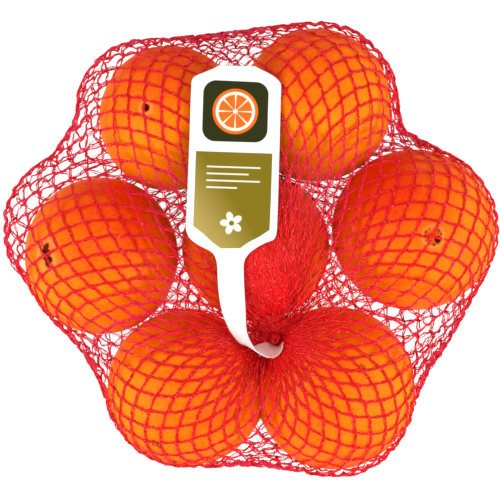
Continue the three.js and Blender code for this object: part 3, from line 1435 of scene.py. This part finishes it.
def plain_piece(name: str, carrier: bpy.types.Object) -> bpy.types.Object:
    """Turns an object with modifiers into a plain mesh, pressed flat where it meets the table.

    Args:
        name: The new piece's name.
        carrier: The object with modifiers.

    Returns:
        The new piece.
    """
    graph = bpy.context.evaluated_depsgraph_get()
    mesh = bpy.data.meshes.new_from_object(carrier.evaluated_get(graph), depsgraph=graph)
    mesh.name = name
    mesh.shade_smooth()
    points = np.empty(len(mesh.vertices) * 3)
    mesh.vertices.foreach_get("co", points)
    points[2::3] = np.maximum(points[2::3], 0.0)
    mesh.vertices.foreach_set("co", points)
    made = placed(name, mesh)
    old = carrier.data
    bpy.data.objects.remove(carrier)
    bpy.data.meshes.remove(old)
    return made


@dataclass
class Label:
    """The film label: a printed panel, a strap, and the loop that the strap makes round the neck."""

    under: float = 0.0016
    beside: float = 0.001
    film: float = 0.00028
    row_step: float = 0.0008
    across: int = 20
    corner: float = 0.0026

    LYING = 30
    # x, y and z of the middle line and the half-width, in millimetres, and the roll in degrees.
    STATIONS = (
        (-6.1, 85.7, 66.6, 7.8, 0),
        (-6.2, 80.6, 67.6, 19.0, 0),
        (-6.3, 78.4, 67.9, 20.9, 0),
        (-7.4, 44.0, 70.0, 21.0, 0),
        (-8.8, 8.5, 71.1, 21.2, 0),
        (-9.0, 5.2, 71.1, 19.8, 0),
        (-9.0, -0.9, 71.0, 8.7, 0),
        (-9.1, -4.0, 70.6, 6.7, 0),
        (-9.1, -7.0, 70.0, 6.1, 2),
        (-8.9, -14.1, 67.7, 6.1, 6),
        (-8.2, -23.5, 64.2, 6.1, 18),
        (-6.9, -31.5, 62.6, 6.1, 36),
        (-4.7, -38.5, 62.9, 6.1, 56),
        (-1.4, -43.7, 63.2, 6.1, 74),
        (2.3, -46.8, 61.4, 6.1, 95),
        (5.6, -47.2, 59.8, 6.1, 118),
        (8.6, -46.8, 58.3, 5.9, 130),
        (11.4, -46.6, 57.6, 5.2, 124),
        (13.8, -45.4, 57.2, 4.2, 110),
        (15.1, -43.0, 57.0, 2.6, 98),
    )

    def route(self) -> tuple[np.ndarray, np.ndarray, np.ndarray]:
        """Runs a smooth line through the stations.

        Returns:
            The points of the line, the half-width at each, and the roll at each, in radians.
        """
        stations = np.array(self.STATIONS, float)
        stations[:, :4] /= 1000
        stations[:, 4] = np.radians(stations[:, 4])
        gaps = np.linalg.norm(np.diff(stations[:, :3], axis=0), axis=1)
        at = np.concatenate([[0.0], np.cumsum(gaps)])
        slopes = np.gradient(stations, at, axis=0)
        wanted = np.linspace(0.0, at[-1], int(at[-1] / self.row_step) + 1)
        first = np.clip(np.searchsorted(at, wanted, side="right") - 1, 0, len(gaps) - 1)
        # A cubic runs from each station to the next, and the half-width is straight, then smoothed.
        t = ((wanted - at[first]) / gaps[first])[:, None]
        start, end = stations[first], stations[first + 1]
        rise, fall = slopes[first] * gaps[first, None], slopes[first + 1] * gaps[first, None]
        curve = (2 * t**3 - 3 * t**2 + 1) * start + (t**3 - 2 * t**2 + t) * rise
        curve += (3 * t**2 - 2 * t**3) * end + (t**3 - t**2) * fall
        half = start[:, 3] + (end - start)[:, 3] * t[:, 0]
        kernel = np.hanning(int(self.corner / self.row_step) * 2 + 1)
        edge = len(kernel) // 2
        half = np.convolve(np.pad(half, edge, mode="edge"), kernel / kernel.sum(), mode="valid")
        return curve[:, :3], half, curve[:, 4]

    def ceiling(self, points: np.ndarray) -> np.ndarray:
        """Gives the greatest height that leaves room under the panel and the strap.

        Args:
            points: Places on the net.

        Returns:
            The height at each.
        """
        line, half, roll = self.route()
        flat = roll < math.radians(self.LYING)
        line, half = line[flat], half[flat]
        steps = points[:, None, :2] - line[None, :, :2]
        nearest = np.argmin((steps**2).sum(axis=2), axis=1)
        away = np.linalg.norm(points[:, :2] - line[nearest, :2], axis=1)
        below = away < half[nearest] + self.beside
        return np.where(below, line[nearest, 2] - self.under, np.inf)

    def build(self, film: bpy.types.Material) -> bpy.types.Object:
        """Builds the piece.

        Args:
            film: The printed film's material.

        Returns:
            The label's object.
        """
        line, half, roll = self.route()
        heading = directions(np.gradient(line, axis=0))
        level = directions(np.cross([0.0, 0.0, 1.0], heading))
        rise = np.cross(heading, level)
        reach = level * np.cos(roll)[:, None] + rise * np.sin(roll)[:, None]
        run = np.concatenate([[0.0], np.cumsum(np.linalg.norm(np.diff(line, axis=0), axis=1))])
        shares = np.linspace(-1, 1, self.across + 1)
        points = line[:, None] + reach[:, None] * (half[:, None] * shares)[..., None]
        width = self.across + 1
        faces = [
            (r * width + m, (r + 1) * width + m, (r + 1) * width + m + 1, r * width + m + 1)
            for r in range(len(line) - 1)
            for m in range(self.across)
        ]
        mesh = bpy.data.meshes.new("label_sheet")
        mesh.from_pydata(points.reshape(-1, 3).tolist(), [], faces)
        layer = mesh.uv_layers.new(name="print")
        place = np.stack([-half[:, None] * shares, np.repeat(run[:, None], width, axis=1)], axis=-1)
        place = place.reshape(-1, 2)
        corners = np.array([loop.vertex_index for loop in mesh.loops])
        layer.data.foreach_set("uv", place[corners].ravel())
        mesh.materials.append(film)
        carrier = placed("label_sheet", mesh)
        thick = carrier.modifiers.new("film", "SOLIDIFY")
        thick.thickness = self.film
        thick.offset = 0.0
        return plain_piece("label_film", carrier)


@dataclass(frozen=True)
class Field:
    """A printed rectangle with round corners: the half of its width and of its length, and its corners."""

    half_u: float
    half_v: float
    corner: float


@dataclass(frozen=True)
class FilmFinish:
    """White printed film: a dark field with a cut fruit, a gold panel with bars and a blossom, and a
    partly clear loop with the red net's light painted on it.

    Places on it are u, across from the middle line, and v, along the label from its top.
    """

    white: Colour = (0.9, 0.9, 0.89)
    green: Colour = (0.022, 0.024, 0.002)
    gold: Colour = (0.20, 0.145, 0.004)
    gold_pale: Colour = (0.46, 0.34, 0.09)
    fruit: Colour = (0.80, 0.14, 0.006)
    pale: Colour = (0.80, 0.79, 0.68)
    # A pink tint on the clear loop, painted red light from the net.
    painted_net_tint: Colour = (0.97, 0.62, 0.55)
    edge: float = 0.00025
    dark_field: Field = Field(0.0152, 0.0142, 0.006)
    fruit_v: float = 0.0215
    rind_reach: float = 0.0106
    pith_reach: float = 0.0092
    wedge_reach: float = 0.0078
    core_reach: float = 0.0011
    wedges: int = 8
    spoke: float = 0.22
    spoke_softness: float = 0.08
    panel_half: float = 0.0178
    panel_top: float = 0.0405
    panel_foot: float = 0.0852
    panel_point: float = 0.0884
    panel_slope: float = 0.713
    sheen_v: float = 0.062
    sheen_length: float = 0.04
    sheen_lean: float = 35.0
    grain_size: float = 0.0004
    grain_depth: float = 0.5
    bars: tuple[float, ...] = (0.0125, 0.0098, 0.0125, 0.0072)
    bar_left: float = 0.0125
    bar_v: float = 0.0475
    bar_step: float = 0.0032
    bar_half: float = 0.00036
    bar_corner: float = 0.0003
    blossom_v: float = 0.0735
    petals: int = 5
    petal_length: float = 0.0032
    petal_root: float = 0.0022
    petal_softness: float = 0.06
    eye_reach: float = 0.0012
    loop_v: float = 0.1415
    loop_softness: float = 0.004
    loop_clearness: float = 0.3
    roughness: float = 0.36
    cloud_size: float = 0.004
    cloud_roughness: float = 0.12
    specular: float = 0.14

    def build(self) -> bpy.types.Material:
        """Builds the material.

        Returns:
            The film's material, which reads the label's own UV map.
        """
        paint = Paint("label_film")
        uv = paint.node("ShaderNodeUVMap", {"uv_map": "print"})
        u = paint.node("ShaderNodeSeparateXYZ", None, {0: uv})
        v = u.other("Y")
        ink = self.cut_fruit(paint, u, v - self.fruit_v)
        sheen = ((v - self.sheen_v) / self.sheen_length + u * self.sheen_lean).clamped()
        grain = (paint.noise(uv, self.grain_size, detail=0.0) - 0.5) * self.grain_depth + 1.0
        gold = paint.mix(sheen * grain, self.gold, self.gold_pale)
        ink = paint.mix(self.panel(u, v), ink, gold)
        for row, reach in enumerate(self.bars):
            across, along = u - (self.bar_left - reach), v - (self.bar_v + self.bar_step * row)
            bar = self.rounded(across, along, Field(reach, self.bar_half, self.bar_corner))
            ink = paint.mix(bar, ink, self.pale)
        ink = self.blossom(paint, u, v - self.blossom_v, ink)
        # Round the neck the strap is partly clear film, with the red net's light painted on it as a pink
        # tint.
        loop = (self.loop_v - v).within(0.0, self.loop_softness)
        cloud = paint.noise(paint.place(), self.cloud_size)
        return paint.finish(
            {
                "Base Color": paint.mix(loop, ink, self.painted_net_tint),
                "Roughness": self.roughness + cloud * self.cloud_roughness,
                "Specular IOR Level": self.specular,
                "Alpha": 1.0 - loop * self.loop_clearness,
            }
        )

    def cut_fruit(self, paint: Paint, u: Link, v: Link) -> Link:
        """Prints the dark field and the cut fruit on it.

        Args:
            paint: The material's nodes.
            u: Distance across from the fruit's middle.
            v: Distance along from its middle.

        Returns:
            The film's colour with them.
        """
        ink = paint.mix(self.rounded(u, v, self.dark_field), self.white, self.green)
        radius = u.hypot(v)
        spoke = (v.maths("ARCTAN2", u) * (self.wedges / 2)).maths("SINE").maths("ABSOLUTE")
        wedge = radius.within(self.wedge_reach, self.edge)
        wedge = wedge * (1.0 - spoke.within(self.spoke, self.spoke_softness))
        wedge = wedge * (1.0 - radius.within(self.core_reach, self.edge))
        pith = radius.within(self.pith_reach, self.edge)
        rind = radius.within(self.rind_reach, self.edge) * (1.0 - pith)
        ink = paint.mix(pith, ink, self.pale)
        ink = paint.mix(wedge, ink, self.fruit)
        return paint.mix(rind, ink, self.fruit)

    def blossom(self, paint: Paint, u: Link, v: Link, ink: Link) -> Link:
        """Prints the blossom.

        Args:
            paint: The material's nodes.
            u: Distance across from the blossom's middle.
            v: Distance along from its middle.
            ink: The film's colour without it.

        Returns:
            The film's colour with it.
        """
        away = u.hypot(v)
        petals = (v.maths("ARCTAN2", u) * (self.petals / 2)).maths("COSINE").maths("ABSOLUTE")
        reach = petals * self.petal_length + self.petal_root
        ink = paint.mix((away / reach).within(1.0, self.petal_softness), ink, self.pale)
        return paint.mix(away.within(self.eye_reach, self.edge), ink, self.gold)

    def rounded(self, u: Link, v: Link, field: Field) -> Link:
        """Lays out a field with round corners.

        Args:
            u: Distance across from its middle.
            v: Distance along from its middle.
            field: Its sizes.

        Returns:
            1 on the field and 0 off it.
        """
        beyond = [
            (way.maths("ABSOLUTE") - (half - field.corner)).maths("MAXIMUM", 0.0)
            for way, half in ((u, field.half_u), (v, field.half_v))
        ]
        return beyond[0].hypot(beyond[1]).within(field.corner, self.edge)

    def panel(self, u: Link, v: Link) -> Link:
        """Lays out the gold panel, whose end narrows with the label.

        Args:
            u: Distance across from the label's middle line.
            v: Distance along from its top.

        Returns:
            1 on the panel and 0 off it.
        """
        wide = u.maths("ABSOLUTE")
        inside = wide.within(self.panel_half, self.edge) * v.within(self.panel_foot, self.edge)
        inside = inside * (1.0 - v.within(self.panel_top, self.edge))
        return inside * (wide * self.panel_slope + v).within(self.panel_point, self.edge)


@dataclass(frozen=True)
class Lamp:
    """A soft square lamp that faces the pack."""

    name: str
    place: tuple[float, float, float]
    side: float
    power: float
    colour: Colour = (1.0, 1.0, 1.0)

    def build(self) -> None:
        """Hangs the lamp and turns it to the pack."""
        data = bpy.data.lights.new(self.name, "AREA")
        data.shape = "SQUARE"
        data.size = self.side
        data.energy = self.power
        data.color = self.colour
        made = placed(self.name, data)
        made.location = self.place
        made.rotation_euler = Vector(self.place).to_track_quat("Z", "Y").to_euler()


@dataclass
class Studio:
    """The pale floor, the lamps and the camera."""

    floor_half: float = 1.6
    floor_tone: Colour = (0.22, 0.22, 0.22)
    floor_roughness: float = 0.8
    floor_glow: float = 0.96
    sky: float = 0.82
    camera_height: float = 3.0
    lamps: tuple[Lamp, ...] = (
        Lamp("left", (-1.35, -0.50, 0.95), 0.9, 17.0),
        Lamp("right", (1.40, -0.50, 0.92), 0.9, 17.5),
    )

    def build(self) -> None:
        """Sets the stage."""
        self.floor()
        self.light()
        self.camera()

    def floor(self) -> None:
        """Lays the floor."""
        made = bmesh.new()
        bmesh.ops.create_grid(made, x_segments=2, y_segments=2, size=self.floor_half)
        mesh = bpy.data.meshes.new("floor")
        made.to_mesh(mesh)
        made.free()
        finish = {
            "Base Color": (*self.floor_tone, 1.0),
            "Roughness": self.floor_roughness,
            "Emission Color": (1.0, 1.0, 1.0, 1.0),
            "Emission Strength": self.floor_glow,
        }
        mesh.materials.append(Paint("floor").finish(finish))
        placed("floor", mesh)

    def light(self) -> None:
        """Lights the stage from the sky and the lamps."""
        world = bpy.data.worlds.new("sky")
        bpy.context.scene.world = world
        world.use_nodes = True
        sky = world.node_tree.nodes["Background"]
        sky.inputs["Color"].default_value = (1.0, 1.0, 1.0, 1.0)
        sky.inputs["Strength"].default_value = self.sky
        for lamp in self.lamps:
            lamp.build()
        bpy.context.scene.view_settings.view_transform = "Standard"

    def camera(self) -> None:
        """Hangs the camera over the pack, with the picture's scale at mid height."""
        data = bpy.data.cameras.new("camera")
        shown = PHOTO_SIDE * PIXEL
        data.lens = data.sensor_width * (self.camera_height - TABLE_TO_MIDDLE) / shown
        data.clip_end = 10.0
        made = placed("camera", data)
        made.location = (0.0, 0.0, self.camera_height)
        bpy.context.scene.camera = made


# Each orange's deep ways are painted shade: up and back, towards the pack's middle, and on the two front
# oranges also low on their fronts.
ORANGES = [
    Orange(
        "orange_back_left",
        (-0.0376, 0.0620),
        (0.0332, 0.0341, 0.0336),
        [Mark(MarkKind.STEM_PIT, plan(147, 109), 0.0024)],
        ripeness=-0.07,
        painted_shade_ways=((0.0, 0.80, 0.60, 0.90),),
        seed=1,
    ),
    Orange(
        "orange_back_right",
        (0.0310, 0.0682),
        (0.0352, 0.0360, 0.0354),
        [Mark(MarkKind.SCAR, plan(354, 48), 0.0032, turn=60)],
        ripeness=-0.14,
        painted_shade_ways=((-0.15, 0.80, 0.58, 0.85),),
        seed=2,
    ),
    Orange(
        "orange_left",
        (-0.0698, -0.0026),
        (0.0360, 0.0368, 0.0360),
        [
            Mark(MarkKind.BUTTON, plan(46.8, 250.0), 0.0043, turn=110),
            Mark(MarkKind.BUTTON, plan(48.6, 261.0), 0.0040, turn=75),
            Mark(MarkKind.FLECK, plan(46.8, 255.5), 0.0030, turn=10),
            Mark(MarkKind.SCUFF, plan(97, 284), 0.0032, turn=80),
            Mark(MarkKind.SCUFF, plan(106, 303), 0.0028, turn=30),
            Mark(MarkKind.SCUFF, plan(88, 255), 0.0020, turn=100),
        ],
        ripeness=0.14,
        painted_shade_ways=((0.30, 0.62, 0.72, 0.78),),
        seed=3,
    ),
    Orange("orange_middle", (0.0028, 0.0014), (0.0346, 0.0344, 0.0344), seed=4),
    Orange(
        "orange_right",
        (0.0768, 0.0094),
        (0.0384, 0.0378, 0.0376),
        [
            Mark(MarkKind.RING_SCAR, plan(430.5, 236.5), 0.0043),
            Mark(MarkKind.BARE_PIT, plan(435.6, 239.8), 0.0022),
        ],
        ripeness=0.18,
        painted_shade_ways=((-0.42, 0.60, 0.68, 0.83),),
        seed=5,
    ),
    Orange(
        "orange_front_left",
        (-0.0298, -0.0648),
        (0.0374, 0.0366, 0.0362),
        [
            Mark(MarkKind.FLECK, plan(154, 441), 0.0036, turn=30),
            Mark(MarkKind.FLECK, plan(158.5, 444), 0.0032, turn=75),
        ],
        ripeness=-0.05,
        painted_shade_ways=((0.50, 0.50, 0.70, 0.78), (0.0, -0.97, 0.24, 0.50)),
        seed=6,
    ),
    Orange(
        "orange_front_right",
        (0.0398, -0.0648),
        (0.0375, 0.0382, 0.0364),
        [
            Mark(MarkKind.FLECK, plan(360.3, 364.3), 0.0019),
            Mark(MarkKind.FLECK, plan(362.6, 366.6), 0.0016, turn=50),
            Mark(MarkKind.SCUFF, plan(350, 452), 0.0040, turn=80),
            Mark(MarkKind.SCUFF, plan(362, 456), 0.0030, turn=60),
        ],
        ripeness=-0.08,
        painted_shade_ways=((-0.40, 0.60, 0.69, 0.88), (0.0, -0.97, 0.24, 0.52)),
        seed=7,
    ),
]


NECK = Gather((0.0116, -0.0416), 0.0016, 0.0522, 0.0555)
FOOT = Gather((-0.0014, 0.0437), 0.003, 0.005, 0.005)
YARN_PARTS = 6


def dress(piece: bpy.types.Object, node: str) -> None:
    """Lets a piece stand for a node of the frame, and reports it.

    Args:
        piece: The finished piece.
        node: The node that it replaces.
    """
    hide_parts(node)
    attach(piece, "root")
    LOG.info("%s: %d faces", piece.name, len(piece.data.polygons))


def main() -> None:
    """Builds the pack and its stage round the frame."""
    logging.basicConfig(level=logging.INFO, format="%(message)s")
    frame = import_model()
    Studio().build()
    peel = PeelFinish().build()
    for orange in ORANGES:
        dress(orange.build(peel, ORANGES), "net_bag")
    net = Net(Form(frame["nodes"]["net_bag"]), ORANGES, NECK, FOOT)
    knots, looseness = net.settle()
    label = Label()
    strands = Strands(net, label)
    lines = strands.lines(knots, looseness)
    yarn = TwineFinish().build()
    twine = TwineTree(yarn)
    for part in range(YARN_PARTS):
        carrier = strands.carrier(lines[part::YARN_PARTS])
        dress(twine.build(f"net_yarn_{part + 1}", carrier, part), "net_bag")
    coils = KnotTree(yarn).build("net_knots", strands.knots(knots), YARN_PARTS)
    dress(coils, "net_bag")
    dress(label.build(FilmFinish().build()), "label")


if __name__ == "__main__":
    main()
